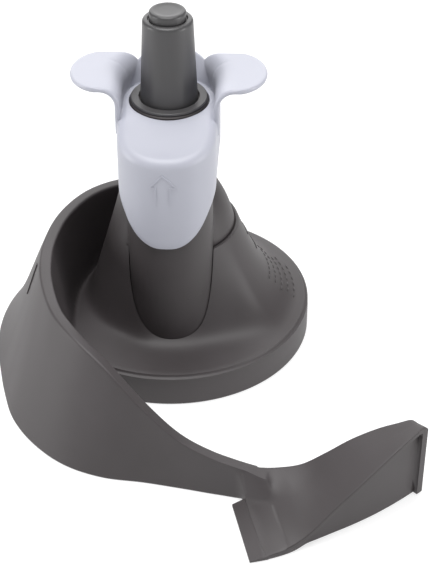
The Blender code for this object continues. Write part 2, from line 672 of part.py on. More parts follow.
def build_pawl(mat):
    """Block in the chamber whose nose reaches through the window into the bore."""
    body = [[(x, y * MM, z * MM) for y, z in PAWL_SIDE] for x in (-PAWL_HALF, PAWL_HALF)]
    pawl = add_object("lock_pawl", loft(body), mat)
    play = ROD_RADIUS + GAP
    cut(pawl, "pawl_slot_cut", box((-PAWL_SLOT_HALF, ROD_Y - play, 30.0 * MM),
                                   (PAWL_SLOT_HALF, ROD_Y + PAWL_TRAVEL + play, 60.0 * MM)))
    # Sloping cam slots for the cross pin: 6 mm of lift draws the nose back by 3 mm.
    width = (CAM_PIN_RADIUS + GAP) * 1.12
    cam = [(ROD_Y - width, CAM_LOW - 1.2 * MM), (ROD_Y + width, CAM_LOW - 1.2 * MM)]
    cam += [(ROD_Y + PAWL_TRAVEL + width, CAM_LOW + SLIDER_TRAVEL), (ROD_Y + PAWL_TRAVEL + width,
            CAM_LOW + SLIDER_TRAVEL + 1.2 * MM)]
    cam += [(ROD_Y + PAWL_TRAVEL - width, CAM_LOW + SLIDER_TRAVEL + 1.2 * MM), (ROD_Y - width, CAM_LOW)]
    cut(pawl, "pawl_cam_cut", loft([[(x, y, z) for y, z in cam] for x in (-8 * MM, 8 * MM)]))


# ---- base --------------------------------------------------------------------------------------

def build_base(plate_mat, socket_mat, screw_mat):
    inner = SOCKET_RADIUS - 1.5 * MM
    disc = [(inner, PLATE_LOW), (PLATE_RADIUS, PLATE_LOW), (PLATE_RADIUS, PLATE_HIGH), (inner, PLATE_HIGH)]
    plate = add_object("base_plate", turned(disc, 64), plate_mat)
    plug = turned_solid([(SOCKET_RADIUS, TOWER_FOOT), (SOCKET_RADIUS, SOCKET_HIGH)], 40)
    socket = add_object("drive_socket", plug, socket_mat)
    hexagon = arc((0.0, 0.0), SOCKET_HEX / math.cos(math.pi / 6), 0.0, 300.0, 5)
    cut(socket, "socket_hex_cut", prism(hexagon, TOWER_FOOT - 4 * MM, SOCKET_HIGH + 4 * MM))
    for i, azimuth in enumerate(SCREW_AZIMUTHS):
        x, y, _ = polar(azimuth, SCREW_CIRCLE, 0.0)
        hole = [(x + dx, y + dy) for dx, dy in arc((0, 0), PLATE_HOLE_RADIUS, 0.0, 337.5, 15)]
        cut(plate, "plate_screw_cut_%d" % (i + 1), prism(hole, 0.0, 9.0 * MM))
        screw = turned_solid([(r * MM, z * MM) for r, z in SCREW_PROFILE], 20)
        add_object("base_screw_%d" % (i + 1), shifted(screw, (x, y, 0)), screw_mat)


for old in list(bpy.data.objects):
    bpy.data.objects.remove(old, do_unlink=True)

root = bpy.data.objects.new("paddle_root", None)
bpy.context.scene.collection.objects.link(root)

charcoal = material("charcoal_plastic", (0.055, 0.052, 0.055), 0.5)
pale_grey = material("pale_grey_plastic", (0.48, 0.50, 0.56), 0.45)
dark_grey = material("dark_grey_plastic", (0.07, 0.07, 0.075), 0.4)
natural = material("natural_nylon", (0.55, 0.53, 0.47), 0.55)
steel = material("steel", (0.6, 0.6, 0.6), 0.3, 1.0)

build_hub(charcoal)
build_wall(charcoal)
build_blade(charcoal)
build_tower(charcoal)
build_stem(dark_grey, dark_grey)
build_slider(pale_grey)
build_rod(steel)
build_spring_stop(natural)
build_spring(steel)
build_pawl(natural)
build_base(charcoal, natural, steel)

# Stand the paddle over the origin by the middle of its box; the spring lies well inside it.
bpy.context.view_layer.update()
graph = bpy.context.evaluated_depsgraph_get()
corners = []
for part in bpy.context.scene.objects:
    if part.type == "MESH" and not part.hide_render:
        seen = part.evaluated_get(graph)
        corners += [seen.matrix_world @ Vector(c) for c in seen.bound_box]
low = Vector([min(c[k] for c in corners) for k in range(3)])
high = Vector([max(c[k] for c in corners) for k in range(3)])
root.location = (-(low.x + high.x) / 2, -(low.y + high.y) / 2, -low.z)
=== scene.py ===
"""Stirring paddle of a hot-air fryer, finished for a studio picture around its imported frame.

The script follows the paddle as it goes together: the studio, the dark moulding with its spiral wall
and scoop, the tower, the stem, the grey slider, the parts of the latch and the base.
"""
import math

import bmesh
import bpy
from mathutils import Euler, Matrix, Vector
from mathutils.kdtree import KDTree


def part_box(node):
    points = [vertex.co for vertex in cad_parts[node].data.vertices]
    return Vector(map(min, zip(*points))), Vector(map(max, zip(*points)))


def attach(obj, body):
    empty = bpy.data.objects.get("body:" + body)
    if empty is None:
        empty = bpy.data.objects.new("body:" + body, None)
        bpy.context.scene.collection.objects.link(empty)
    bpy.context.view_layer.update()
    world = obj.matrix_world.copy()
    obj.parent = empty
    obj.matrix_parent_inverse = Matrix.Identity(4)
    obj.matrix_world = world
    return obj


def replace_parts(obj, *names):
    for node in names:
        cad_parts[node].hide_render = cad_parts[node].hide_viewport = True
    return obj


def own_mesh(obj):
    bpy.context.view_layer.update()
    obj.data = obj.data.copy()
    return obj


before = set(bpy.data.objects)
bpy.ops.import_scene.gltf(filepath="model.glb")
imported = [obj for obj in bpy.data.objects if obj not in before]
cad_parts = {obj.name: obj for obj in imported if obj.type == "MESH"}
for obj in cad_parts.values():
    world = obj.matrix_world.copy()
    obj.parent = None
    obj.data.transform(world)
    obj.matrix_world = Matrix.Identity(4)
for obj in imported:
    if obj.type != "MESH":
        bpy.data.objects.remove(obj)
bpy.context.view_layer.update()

# ---- studio ------------------------------------------------------------------------------------
# A pale table in a light tent.  Broad lamps above and behind make the upper faces bright, and two low
# strips graze the sides, while the inside of the spiral stays dark.

MM = 0.001
stem_low, stem_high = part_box("stem")
AXIS = Vector(((stem_low.x + stem_high.x) / 2, (stem_low.y + stem_high.y) / 2, 0.0))

camera = bpy.data.objects.new("camera", bpy.data.cameras.new("camera"))
camera.location = AXIS + Vector((8.45, -461.99, 355.67)) * MM
camera.rotation_euler = Euler((math.radians(53.63), 0.0, math.radians(-0.86)))
camera.data.lens = 98.8
camera.data.sensor_width = 36.0
bpy.context.scene.collection.objects.link(camera)
bpy.context.scene.camera = camera
bpy.context.scene.view_settings.view_transform = "Standard"


def lamp(name, place, target, size, watts):
    """Square soft box that faces the target."""
    data = bpy.data.lights.new(name, "AREA")
    data.shape = "SQUARE"
    data.size = size
    data.energy = watts
    obj = bpy.data.objects.new(name, data)
    obj.location = place
    obj.rotation_euler = (Vector(target) - Vector(place)).to_track_quat("-Z", "Y").to_euler()
    bpy.context.scene.collection.objects.link(obj)


lamp("top_lamp", (-0.05, -0.12, 1.00), (0.0, 0.0, 0.04), 0.80, 12.0)
lamp("back_lamp", (0.00, 0.95, 0.62), (0.0, 0.0, 0.05), 1.20, 9.0)
lamp("right_lamp", (0.75, -0.25, 0.12), (0.0, 0.0, 0.05), 0.30, 2.6)
lamp("left_lamp", (-0.75, -0.10, 0.16), (0.0, 0.0, 0.05), 0.30, 2.2)

world = bpy.data.worlds.new("light_tent")
world.use_nodes = True
world.node_tree.nodes["Background"].inputs["Color"].default_value = (0.97, 0.98, 1.0, 1.0)
world.node_tree.nodes["Background"].inputs["Strength"].default_value = 0.2
bpy.context.scene.world = world

table_mesh = bpy.data.meshes.new("table_top")
table_mesh.from_pydata([(-4, -4, 0), (4, -4, 0), (4, 4, 0), (-4, 4, 0)], [], [(0, 1, 2, 3)])
table = bpy.data.objects.new("table_top", table_mesh)
table.location.z = -0.0004
bpy.context.scene.collection.objects.link(table)
paper = bpy.data.materials.new("white_paper")
paper.use_nodes = True
paper.node_tree.nodes["Principled BSDF"].inputs["Base Color"].default_value = (0.42, 0.42, 0.42, 1)
paper.node_tree.nodes["Principled BSDF"].inputs["Roughness"].default_value = 0.9
paper.node_tree.nodes["Principled BSDF"].inputs["Emission Color"].default_value = (1, 1, 1, 1)
paper.node_tree.nodes["Principled BSDF"].inputs["Emission Strength"].default_value = 0.65
table_mesh.materials.append(paper)

# ---- paddle moulding ---------------------------------------------------------------------------
# Bell-shaped hub, spiral wall, arm and scoop blade are one injection moulding of charcoal glass-filled
# nylon.  Its faces have a fine spark-eroded grain, and its inside corners are rounded by the mould.

SKIRT_RADIUS, SKIRT_HEIGHT = 50.0, 12.0        # millimetres from the drive axis and above the table
RING_RADIUS, RING_HEIGHT = 24.0, 44.0
RING_HOLE = 20.3
HUB_WALL = 2.6
POCKET_STEP = 6.0
FLANK_SLOPE = 0.283                            # millimetres outwards for each one down
RIB_INNER, RIB_OUTER, RIB_FOOT = 34.0, 37.0, 6.3
WALL_THICK = 4.0
WALL_START, WALL_END = 52.0, 286.5
WALL_STATIONS = (                              # azimuth, foot, top and height of the rim, inner foot
    (50, 46.0, 20.0, 41.0, 20.0),
    (68, 49.6, 23.6, 43.4, 22.5),
    (85, 51.85, 27.2, 44.0, 24.0),
    (105, 53.85, 30.0, 44.0, 25.5),
    (125, 56.4, 33.5, 44.0, 28.0),
    (145, 59.0, 36.6, 44.0, 30.5),
    (168, 62.2, 39.8, 44.0, 32.0),
    (189, 65.1, 44.3, 44.0, 34.5),
    (205, 68.5, 50.0, 44.0, 37.5),
    (216, 73.2, 55.3, 44.0, 43.0),
    (226, 79.2, 61.2, 44.0, 60.0),
    (236, 84.2, 68.4, 44.0, 78.0),
    (246, 88.2, 74.8, 42.7, 83.4),
    (255, 89.7, 79.4, 37.5, 85.3),
    (264, 89.8, 84.0, 26.5, 85.6),
    (272, 92.4, 89.6, 17.8, 88.3),
    (279, 96.6, 95.2, 13.6, 92.0),
    (283, 99.8, 98.9, 12.3, 95.4),
    (287, 103.0, 102.2, 10.8, 98.6),
)
BLADE_START, BLADE_END = 283.3, 310.8
BLADE_STATIONS = (                             # azimuth, then radius and height of four edges
    (281.0, 92.2, 12.8, 95.4, 13.2, 99.0, 1.8, 128.0, 1.4),
    (284.0, 95.8, 12.0, 100.0, 12.0, 105.0, 3.0, 127.8, 1.6),
    (287.0, 98.9, 11.8, 104.4, 10.8, 110.0, 5.6, 127.2, 2.6),
    (290.0, 100.8, 11.9, 106.6, 10.6, 112.6, 8.8, 126.6, 5.6),
    (294.0, 103.4, 13.0, 107.4, 12.6, 113.4, 12.4, 125.8, 12.0),
    (298.0, 106.0, 17.0, 109.4, 17.0, 114.6, 17.2, 125.5, 17.6),
    (302.0, 108.8, 21.4, 112.2, 21.4, 116.6, 21.8, 125.3, 22.6),
    (306.0, 112.6, 24.8, 116.0, 24.8, 119.4, 25.4, 125.1, 26.5),
    (309.4, 117.6, 27.6, 119.4, 27.4, 121.6, 27.8, 125.0, 28.4),
    (310.3, 118.5, 27.5, 120.2, 27.4, 122.2, 27.7, 125.0, 28.1),
    (310.8, 119.0, 26.6, 120.6, 26.5, 122.4, 26.8, 125.0, 27.2),
)
BLADE_SKIN, BLADE_RECESS = 2.0, 1.6
END_PLATE_FROM = 309.7


def smooth_step(value, low, high):
    t = max(0.0, min(1.0, (value - low) / (high - low)))
    return t * t * (3 - 2 * t)


def along(stations, column, at):
    """One column of a station table, read as a smooth curve of the first column."""
    xs = [row[0] for row in stations]
    ys = [row[column] for row in stations]
    last = len(xs) - 1
    i = max(0, min(last - 1, sum(1 for x in xs if x <= at) - 1))

    def slope(k):
        a, b = max(0, k - 1), min(last, k + 1)
        return (ys[b] - ys[a]) / (xs[b] - xs[a])

    width = xs[i + 1] - xs[i]
    t = (at - xs[i]) / width
    return ((2 * t ** 3 - 3 * t ** 2 + 1) * ys[i] + (t ** 3 - 2 * t ** 2 + t) * width * slope(i)
            + (3 * t ** 2 - 2 * t ** 3) * ys[i + 1] + (t ** 3 - t ** 2) * width * slope(i + 1))


def at_axis(x, y, z):
    """A point given in millimetres from the drive axis, in the frame's metres."""
    return AXIS + Vector((x, y, z)) * MM


def polar(azimuth, radius, height):
    a = math.radians(azimuth)
    return at_axis(radius * math.cos(a), radius * math.sin(a), height)


def rounded(corners, steps=5):
    """Outline whose corners, given as (u, v, radius), are turned into arcs."""
    points = []
    for i, (u, v, radius) in enumerate(corners):
        here = Vector((u, v))
        before = Vector(corners[i - 1][:2]) - here
        after = Vector(corners[(i + 1) % len(corners)][:2]) - here
        if radius <= 0 or before.length < 1e-6 or after.length < 1e-6:
            points += [here] * (steps + 1)
            continue
        reach = min(radius / math.tan(before.angle(after, 1.0) / 2), before.length * 0.48,
                    after.length * 0.48)
        start, end = here + before.normalized() * reach, here + after.normalized() * reach
        for k in range(steps + 1):
            t = k / steps
            points.append(start * (1 - t) ** 2 + here * 2 * t * (1 - t) + end * t ** 2)
    return points


def add_mesh(name, bm):
    bmesh.ops.remove_doubles(bm, verts=bm.verts, dist=2e-6)
    bmesh.ops.recalc_face_normals(bm, faces=bm.faces)
    if bm.calc_volume(signed=True) < 0.0:
        bmesh.ops.reverse_faces(bm, faces=bm.faces)
    mesh = bpy.data.meshes.new(name)
    bm.to_mesh(mesh)
    bm.free()
    obj = bpy.data.objects.new(name, mesh)
    bpy.context.scene.collection.objects.link(obj)
    return obj


def skin(name, sections, closed=False):
    """Body through a row of sections with like-numbered points; open ends get caps."""
    bm = bmesh.new()
    rings = [[bm.verts.new(p) for p in section] for section in sections]
    pairs = list(zip(rings, rings[1:])) + ([(rings[-1], rings[0])] if closed else [])
    for a, b in pairs:
        for i in range(len(a)):
            j = (i + 1) % len(a)
            bm.faces.new((a[i], a[j], b[j], b[i]))
    if not closed:
        bm.faces.new(rings[0][::-1])
        bm.faces.new(rings[-1])
    return add_mesh(name, bm)


def turn(name, profile, steps=96):
    """Solid of revolution about the drive axis from an open (radius, height) line, bottom to top."""
    return skin(name, [[polar(360 * k / steps, r, z) for k in range(steps)] for r, z in profile])


def prism(name, plan, heights):
    return skin(name, [[at_axis(x, y, z) for x, y in plan] for z in heights])


def block(name, low, high):
    (x0, y0, z0), (x1, y1, z1) = low, high
    return prism(name, [(x0, y0), (x1, y0), (x1, y1), (x0, y1)], (z0, z1))


def levels(low, high, step):
    count = max(1, round((high - low) / step))
    return [low + (high - low) * k / count for k in range(count + 1)]


def circle(x, y, radius, steps=24):
    turns = [2 * math.pi * k / steps for k in range(steps)]
    return [(x + radius * math.cos(a), y + radius * math.sin(a)) for a in turns]


def settle(obj):
    """Turn an object's modifiers into its own plain mesh."""
    graph = bpy.context.evaluated_depsgraph_get()
    mesh = bpy.data.meshes.new_from_object(obj.evaluated_get(graph))
    obj.modifiers.clear()
    obj.data = mesh
    return obj


def combine(body, other, operation):
    """Join a helper body to a piece, or cut the piece with it, and drop the helper."""
    mod = body.modifiers.new("combine", "BOOLEAN")
    mod.operation = operation
    mod.object = other
    settle(body)
    bpy.data.objects.remove(other)


def soften(obj, reach, rounds=6, hollow=0.35, edge=0.6):
    """Relax the mesh beside its inside corners, like the radius that a mould has there."""
    bm = bmesh.new()
    bm.from_mesh(obj.data)
    bmesh.ops.triangulate(bm, faces=bm.faces)
    bmesh.ops.dissolve_degenerate(bm, edges=bm.edges, dist=0.03 * MM)
    hollows = [e for e in bm.edges if len(e.link_faces) == 2 and e.calc_face_angle_signed(0.0) < -hollow]
    fixed = {v for e in bm.edges if len(e.link_faces) != 2 or e.calc_face_angle_signed(0.0) > edge
             for v in e.verts}
    tree = KDTree(2 * len(hollows))
    for i, e in enumerate(hollows):
        tree.insert(e.verts[0].co, 2 * i)
        tree.insert(e.verts[1].co, 2 * i + 1)
    tree.balance()
    near = {}
    for v in bm.verts:
        if v in fixed or not hollows:
            continue
        distance = tree.find(v.co)[2]
        if distance < reach * MM:
            near[v] = 1.0 - smooth_step(distance, 0.0, reach * MM)
    for _ in range(rounds):
        moved = {}
        for v, share in near.items():
            middle = sum((e.other_vert(v).co for e in v.link_edges), Vector()) / len(v.link_edges)
            moved[v] = v.co.lerp(middle, 0.7 * share)
        for v, co in moved.items():
            v.co = co
    bm.to_mesh(obj.data)
    bm.free()


def moulded(name, colours, roughness, grain):
    """Moulded plastic: two close tones in faint clouds, an eroded grain and uneven gloss."""
    mat = bpy.data.materials.new(name)
    mat.use_nodes = True
    nodes, links = mat.node_tree.nodes, mat.node_tree.links
    shader = nodes["Principled BSDF"]
    shader.inputs["IOR"].default_value = 1.5
    place = nodes.new("ShaderNodeTexCoord")
    clouds = nodes.new("ShaderNodeTexNoise")
    clouds.inputs["Scale"].default_value = 45.0
    clouds.inputs["Detail"].default_value = 4.0
    links.new(place.outputs["Object"], clouds.inputs["Vector"])
    tones = nodes.new("ShaderNodeValToRGB")
    tones.color_ramp.elements[0].position = 0.3
    tones.color_ramp.elements[1].position = 0.7
    tones.color_ramp.elements[0].color = (*colours[0], 1.0)
    tones.color_ramp.elements[1].color = (*colours[1], 1.0)
    links.new(clouds.outputs["Fac"], tones.inputs["Fac"])
    links.new(tones.outputs["Color"], shader.inputs["Base Color"])
    gloss = nodes.new("ShaderNodeMapRange")
    gloss.inputs["To Min"].default_value = roughness - 0.05
    gloss.inputs["To Max"].default_value = roughness + 0.05
    links.new(clouds.outputs["Fac"], gloss.inputs["Value"])
    links.new(gloss.outputs["Result"], shader.inputs["Roughness"])
    pits = nodes.new("ShaderNodeTexNoise")
    pits.inputs["Scale"].default_value = 2200.0
    pits.inputs["Detail"].default_value = 3.0
    links.new(place.outputs["Object"], pits.inputs["Vector"])
    bump = nodes.new("ShaderNodeBump")
    bump.inputs["Strength"].default_value = grain
    bump.inputs["Distance"].default_value = 0.05 * MM
    links.new(pits.outputs["Fac"], bump.inputs["Height"])
    links.new(bump.outputs["Normal"], shader.inputs["Normal"])
    return mat


def finish_piece(obj, mat, body, angle=32.0):
    """Give a finished piece its material, shading and body."""
    obj.data.materials.clear()
    obj.data.materials.append(mat)
    obj.data.shade_smooth()
    obj.data.set_sharp_from_angle(angle=math.radians(angle))
    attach(obj, body)
    return obj


def pocket_share(azimuth):
    """1 where the spiral wall stands beside the hub, 0 where the skirt is free."""
    a = azimuth % 360.0
    return smooth_step(a, 70.0, 130.0) * (1.0 - smooth_step(a, 215.0, 240.0))


def flank_share(azimuth):
    """1 on the pocket's side, where the flank runs straight up into the neck without a step."""
    return smooth_step(azimuth % 360.0, 95.0, 150.0) * (1.0 - smooth_step(azimuth % 360.0, 238.0, 262.0))


def ring_radius(azimuth):
    return RING_RADIUS - 2.4 * flank_share(azimuth)


def bell_height(radius, azimuth):
    """The bell falls gently behind, and steeply in the pocket and down to the front."""
    turn = (azimuth + 90.0) % 360.0
    front = 1.0 - smooth_step(min(turn, 360.0 - turn), 15.0, 62.0)
    steep = flank_share(azimuth)
    rim = SKIRT_RADIUS - POCKET_STEP * pocket_share(azimuth)
    ring = ring_radius(azimuth)
    t = max(0.0, min(1.0, (radius - ring) / (rim - ring)))
    sweep = (RING_HEIGHT - SKIRT_HEIGHT) * (1.0 - t) ** (2.2 + 5.0 * front)
    straight = RING_HEIGHT - SKIRT_HEIGHT - (radius - ring) / FLANK_SLOPE
    cone = (straight + math.sqrt(straight ** 2 + 30.0)) / 2 - 30.0 / 4 / (RING_HEIGHT - SKIRT_HEIGHT)
    return SKIRT_HEIGHT + sweep * (1 - steep) + max(0.0, cone) * steep


def bell_face(azimuth, inset=0.0):
    """Outer face of the hub, from the foot of the skirt to the ring."""
    rim = SKIRT_RADIUS - POCKET_STEP * pocket_share(azimuth)
    edge = 2.2
    points = [(rim, 0.0), (rim, 4.0), (rim, 8.0)]
    points += [(rim - inward, SKIRT_HEIGHT - down) for inward, down in
               ((0.0, 1.5), (0.1, 1.2), (0.4, 1.05), (0.75, 1.3), (0.95, 1.25), (1.05, 0.6), (1.4, 0.15),
                (edge, 0.0))]
    for k in range(1, 41):
        radius = ring_radius(azimuth) + (rim - edge - ring_radius(azimuth)) * (1.0 - k / 40.0) ** 1.3
        points.append((radius, bell_height(radius, azimuth)))
    return [(r - inset, z - inset) for r, z in points]


def bell_inside(azimuth):
    """Inner face of the hub, from the ring to the foot, with the rib that clamps the base."""
    rim = SKIRT_RADIUS - POCKET_STEP * pocket_share(azimuth) - HUB_WALL
    points = []
    start = max(RING_HOLE + 0.4, ring_radius(azimuth) - HUB_WALL)
    for k in range(9):
        r = start + (RIB_INNER - start) * k / 8
        points.append((r, max(RIB_FOOT + 2.0, bell_height(r + HUB_WALL, azimuth) - HUB_WALL)))
    points += [(RIB_INNER, RIB_FOOT), (RIB_OUTER, RIB_FOOT)]
    for k in range(5):
        r = RIB_OUTER + (rim - RIB_OUTER) * k / 4
        points.append((r, bell_height(r + HUB_WALL, azimuth) - HUB_WALL))
    return points + [(rim, 4.0), (rim, 0.0)]


def tower_plan(grow=0.0, steps=40):
    """Plan of the tower below its neck: a round barrel with the latch housing in front."""
    housing, barrel = 14.6 + grow, 20.0 + grow
    start = math.asin(housing / barrel)
    turns = [-math.pi / 2 + start + (2 * math.pi - 2 * start) * k / (2 * steps) for k in range(2 * steps + 1)]
    points = [(barrel * math.cos(a), barrel * math.sin(a)) for a in turns]
    turns = [math.pi + math.pi * k / steps for k in range(steps + 1)]
    return points + [(housing * math.cos(a), housing * math.sin(a) - 17.0) for a in turns]


def wall_face(azimuth, height):
    """Outer and inner radius of the spiral wall at a height."""
    foot, top, crest, inner = (along(WALL_STATIONS, k, azimuth) for k in (1, 2, 3, 4))
    ahead = along(WALL_STATIONS, 2, min(azimuth + 1.0, 287.0))
    behind = along(WALL_STATIONS, 2, max(azimuth - 1.0, 50.0))
    lean = math.atan2(ahead - behind, 2.0 * math.radians(1.0) * top)
    thick = WALL_THICK / math.cos(lean)
    t = min(1.0, max(0.0, height / crest))
    bow = 1.0 - 0.16 * math.sin(math.pi * t) * (1.0 - smooth_step(azimuth, 150.0, 230.0))
    return top + (foot - top) * (1.0 - t) * bow, top - thick + (inner - top + thick) * (1.0 - t)


def wall_section(azimuth):
    crest = along(WALL_STATIONS, 3, azimuth)
    heights = [crest * k / 16 for k in range(17)]
    outer = [(wall_face(azimuth, z)[0], z, 0.0) for z in heights[:-1]]
    inner = [(wall_face(azimuth, z)[1], z, 0.0) for z in heights[-2::-1]]
    top = wall_face(azimuth, crest)
    rim = rounded([(outer[-1][0], outer[-1][1], 0), (top[0], crest, 1.3), (top[1], crest, 1.1),
                   (inner[0][0], inner[0][1], 0)], 5)[6:18]
    line = [(r, z) for r, z, _ in outer] + [(p.x, p.y) for p in rim] + [(r, z) for r, z, _ in inner]
    return [polar(azimuth, r, z) for r, z in line]


def blade_columns(azimuth):
    """Back edge, lip, foot of the fillet and ridge of the blade, as (radius, height)."""
    values = [along(BLADE_STATIONS, k, azimuth) for k in range(1, 9)]
    return list(zip(values[0::2], values[1::2]))


def blade_section(azimuth):
    back, lip, foot, ridge = blade_columns(azimuth)
    under = max(0.5, ridge[1] - BLADE_SKIN)
    base = ridge[0] - BLADE_RECESS * smooth_step(ridge[1], 2.0, 6.0) * (azimuth < END_PLATE_FROM)
    corners = [(back[0], 0.0, 0.0), (base, 0.0, 0.0), (base, under, 0.4), (ridge[0], under + 0.3, 0.25),
               (ridge[0], ridge[1], 0.6), (foot[0], foot[1], 4.0), (lip[0], lip[1], 0.4),
               (back[0], back[1], 1.0)]
    return [polar(azimuth, p.x, p.y) for p in rounded(corners, 6)]


def ring_body(name, azimuths, section):
    return skin(name, [section(a) for a in azimuths], closed=True)


STEP = 1.5
round_turn = [STEP * k for k in range(int(360 / STEP))]


def ring_lip(azimuth):
    """Rolled lip of the ring and the seat inside it that the tower stands in."""
    edge = ring_radius(azimuth)
    seat = max(RING_HOLE + 0.1, NECK_FOOT + 0.3 - 2.0 * flank_share(azimuth))
    return [(edge - 0.15, RING_HEIGHT + 0.12), (max(seat, edge - 0.9), RING_HEIGHT + 0.12),
            (seat, RING_HEIGHT - 0.2), (seat, RING_HEIGHT - 1.0),
            (RING_HOLE, RING_HEIGHT - 1.0), (RING_HOLE, RING_HEIGHT - HUB_WALL)]


NECK_FOOT = 22.5
paddle = ring_body("paddle_moulding", round_turn, lambda a: [
    polar(a, r, z) for r, z in bell_face(a) + ring_lip(a) + bell_inside(a)])
combine(paddle, skin("tower_hole", [[at_axis(x, y, z) for x, y in tower_plan(0.3)] for z in (-3, 60)]),
        "DIFFERENCE")

wall_turns = [WALL_START + (WALL_END - WALL_START) * k / 260 for k in range(261)]
wall = skin("spiral", [wall_section(a) for a in wall_turns])
under_bell = ring_body("under_bell", round_turn, lambda a: [
    polar(a, max(1.0, r), z) for r, z in bell_face(a, 1.37) + [(1.0, RING_HEIGHT - 1.37), (1.0, -1.37)]])
combine(wall, under_bell, "DIFFERENCE")
blade_turns = [BLADE_START + (END_PLATE_FROM - 0.04 - BLADE_START) * k / 60 for k in range(61)]
blade_turns += [END_PLATE_FROM + (BLADE_END - END_PLATE_FROM) * k / 6 for k in range(7)]
blade = skin("scoop", [blade_section(a) for a in blade_turns])
tongue = skin("tongue", [
    [polar(281.0 + turn, r, z)
     for r, z in ((102.5, 0.0), (128.0, 0.0), (128.0, 0.6 + 0.32 * turn), (102.5, 0.7 + 0.75 * turn))]
    for turn in (0, 0.9, 1.8, 2.7)])
combine(blade, tongue, "UNION")
slot = ((309.0, 24.6), (END_PLATE_FROM, 25.2), (END_PLATE_FROM, 0.9), (307.7, 0.9))
combine(blade, skin("plate_slot", [[polar(a, r, z) for a, z in slot] for r in (119.0, 130.0)]), "DIFFERENCE")
combine(wall, blade, "UNION")
combine(paddle, wall, "UNION")
soften(paddle, 2.2)
charcoal = moulded("charcoal_nylon", ((0.042, 0.036, 0.037), (0.052, 0.045, 0.047)), 0.52, 0.35)
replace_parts(finish_piece(paddle, charcoal, "paddle"),
            "hub_skirt", "spiral_wall", "scoop_blade")

# ---- flank relief ------------------------------------------------------------------------------
# Low moulded pads on the hub's right flank, two rows of strokes over a fan of short dashes, and one
# upright rib on the outside of the wall.  They belong to the charcoal moulding.


def pad_tree():
    """Node tree that puts a soft pad on each point, turned and sized by the points' attributes."""
    tree = bpy.data.node_groups.new("soft_pads", "GeometryNodeTree")
    tree.interface.new_socket("Geometry", in_out="OUTPUT", socket_type="NodeSocketGeometry")
    tree.interface.new_socket("Geometry", in_out="INPUT", socket_type="NodeSocketGeometry")
    tree.interface.new_socket("Segments", in_out="INPUT", socket_type="NodeSocketInt")
    tree.interface.new_socket("Material", in_out="INPUT", socket_type="NodeSocketMaterial")
    nodes, links = tree.nodes, tree.links
    given, made = nodes.new("NodeGroupInput"), nodes.new("NodeGroupOutput")
    pad = nodes.new("GeometryNodeMeshUVSphere")
    pad.inputs["Radius"].default_value = 0.5
    pad.inputs["Rings"].default_value = 8
    links.new(given.outputs["Segments"], pad.inputs["Segments"])
    put = nodes.new("GeometryNodeInstanceOnPoints")
    links.new(given.outputs["Geometry"], put.inputs["Points"])
    links.new(pad.outputs["Mesh"], put.inputs["Instance"])
    for key, socket in (("turned", "Rotation"), ("measure", "Scale")):
        read = nodes.new("GeometryNodeInputNamedAttribute")
        read.data_type = "FLOAT_VECTOR"
        read.inputs["Name"].default_value = key
        links.new(read.outputs["Attribute"], put.inputs[socket])
    real = nodes.new("GeometryNodeRealizeInstances")
    links.new(put.outputs["Instances"], real.inputs["Geometry"])
    dress = nodes.new("GeometryNodeSetMaterial")
    links.new(real.outputs["Geometry"], dress.inputs["Geometry"])
    links.new(given.outputs["Material"], dress.inputs["Material"])
    links.new(dress.outputs["Geometry"], made.inputs[0])
    return tree


def flank_frame(azimuth, radius):
    """Place on the hub's flank and the directions along its fall, along its turn and out of it."""
    here = polar(azimuth, radius, bell_height(radius, azimuth))
    down = (polar(azimuth, radius + 0.4, bell_height(radius + 0.4, azimuth)) - here).normalized()
    round_ = (polar(azimuth + 0.5, radius, bell_height(radius, azimuth + 0.5)) - here).normalized()
    out = down.cross(round_).normalized()
    return here, down, out.cross(down), out


def run_nodes(name, tree, carrier=None, **values):
    """New plain mesh object from a node tree and its named inputs."""
    obj = bpy.data.objects.new(name, carrier or bpy.data.meshes.new(name))
    bpy.context.scene.collection.objects.link(obj)
    mod = obj.modifiers.new("build", "NODES")
    mod.node_group = tree
    names = {item.name: item.identifier for item in tree.interface.items_tree if item.in_out == "INPUT"}
    for key, value in values.items():
        mod[names[key]] = value
    return settle(obj)


pads = []                                      # azimuth, radius, length along the fall, along the turn
for row, (radius, length) in enumerate(((27.6, 2.4), (31.2, 2.2))):
    pads += [(8.0 + 3.0 * k + 1.5 * row, radius, length * (1.0 if k % 3 else 0.6), 0.75) for k in range(12)]
for row in range(5):
    pads += [(-6.0 + 4.6 * k + 2.3 * (row % 2), 35.6 + 2.3 * row, 0.7, 2.3) for k in range(8 - row // 2)]
carrier = bpy.data.meshes.new("flank_relief")
frames = [flank_frame(azimuth, radius) for azimuth, radius, _, _ in pads]
carrier.from_pydata([here for here, _, _, _ in frames], [], [])
turned_by = carrier.attributes.new("turned", "FLOAT_VECTOR", "POINT")
measure = carrier.attributes.new("measure", "FLOAT_VECTOR", "POINT")
for i, ((_, down, round_, out), (_, _, fall, wide)) in enumerate(zip(frames, pads)):
    turned_by.data[i].vector = Matrix((down, round_, out)).transposed().to_euler()
    measure.data[i].vector = (fall * MM, wide * MM, 0.7 * MM)
relief = run_nodes("flank_relief", pad_tree(), carrier, Segments=14, Material=charcoal)
finish_piece(relief, charcoal, "paddle", 60.0)

rib = [[polar(azimuth, wall_face(azimuth, z)[0] + out, z) for azimuth, out in
        ((205.2, -0.6), (205.4, 0.45), (206.4, 0.45), (206.6, -0.6))] for z in levels(30.0, 41.0, 1.0)]
finish_piece(skin("wall_rib", rib), charcoal, "paddle", 40.0)

# ---- tower -------------------------------------------------------------------------------------
# Second charcoal moulding: a waisted neck on the hub's ring, a straight column for the stem, and the
# half-round housing of the latch in front.  It drops into the hub and is screwed on from below.

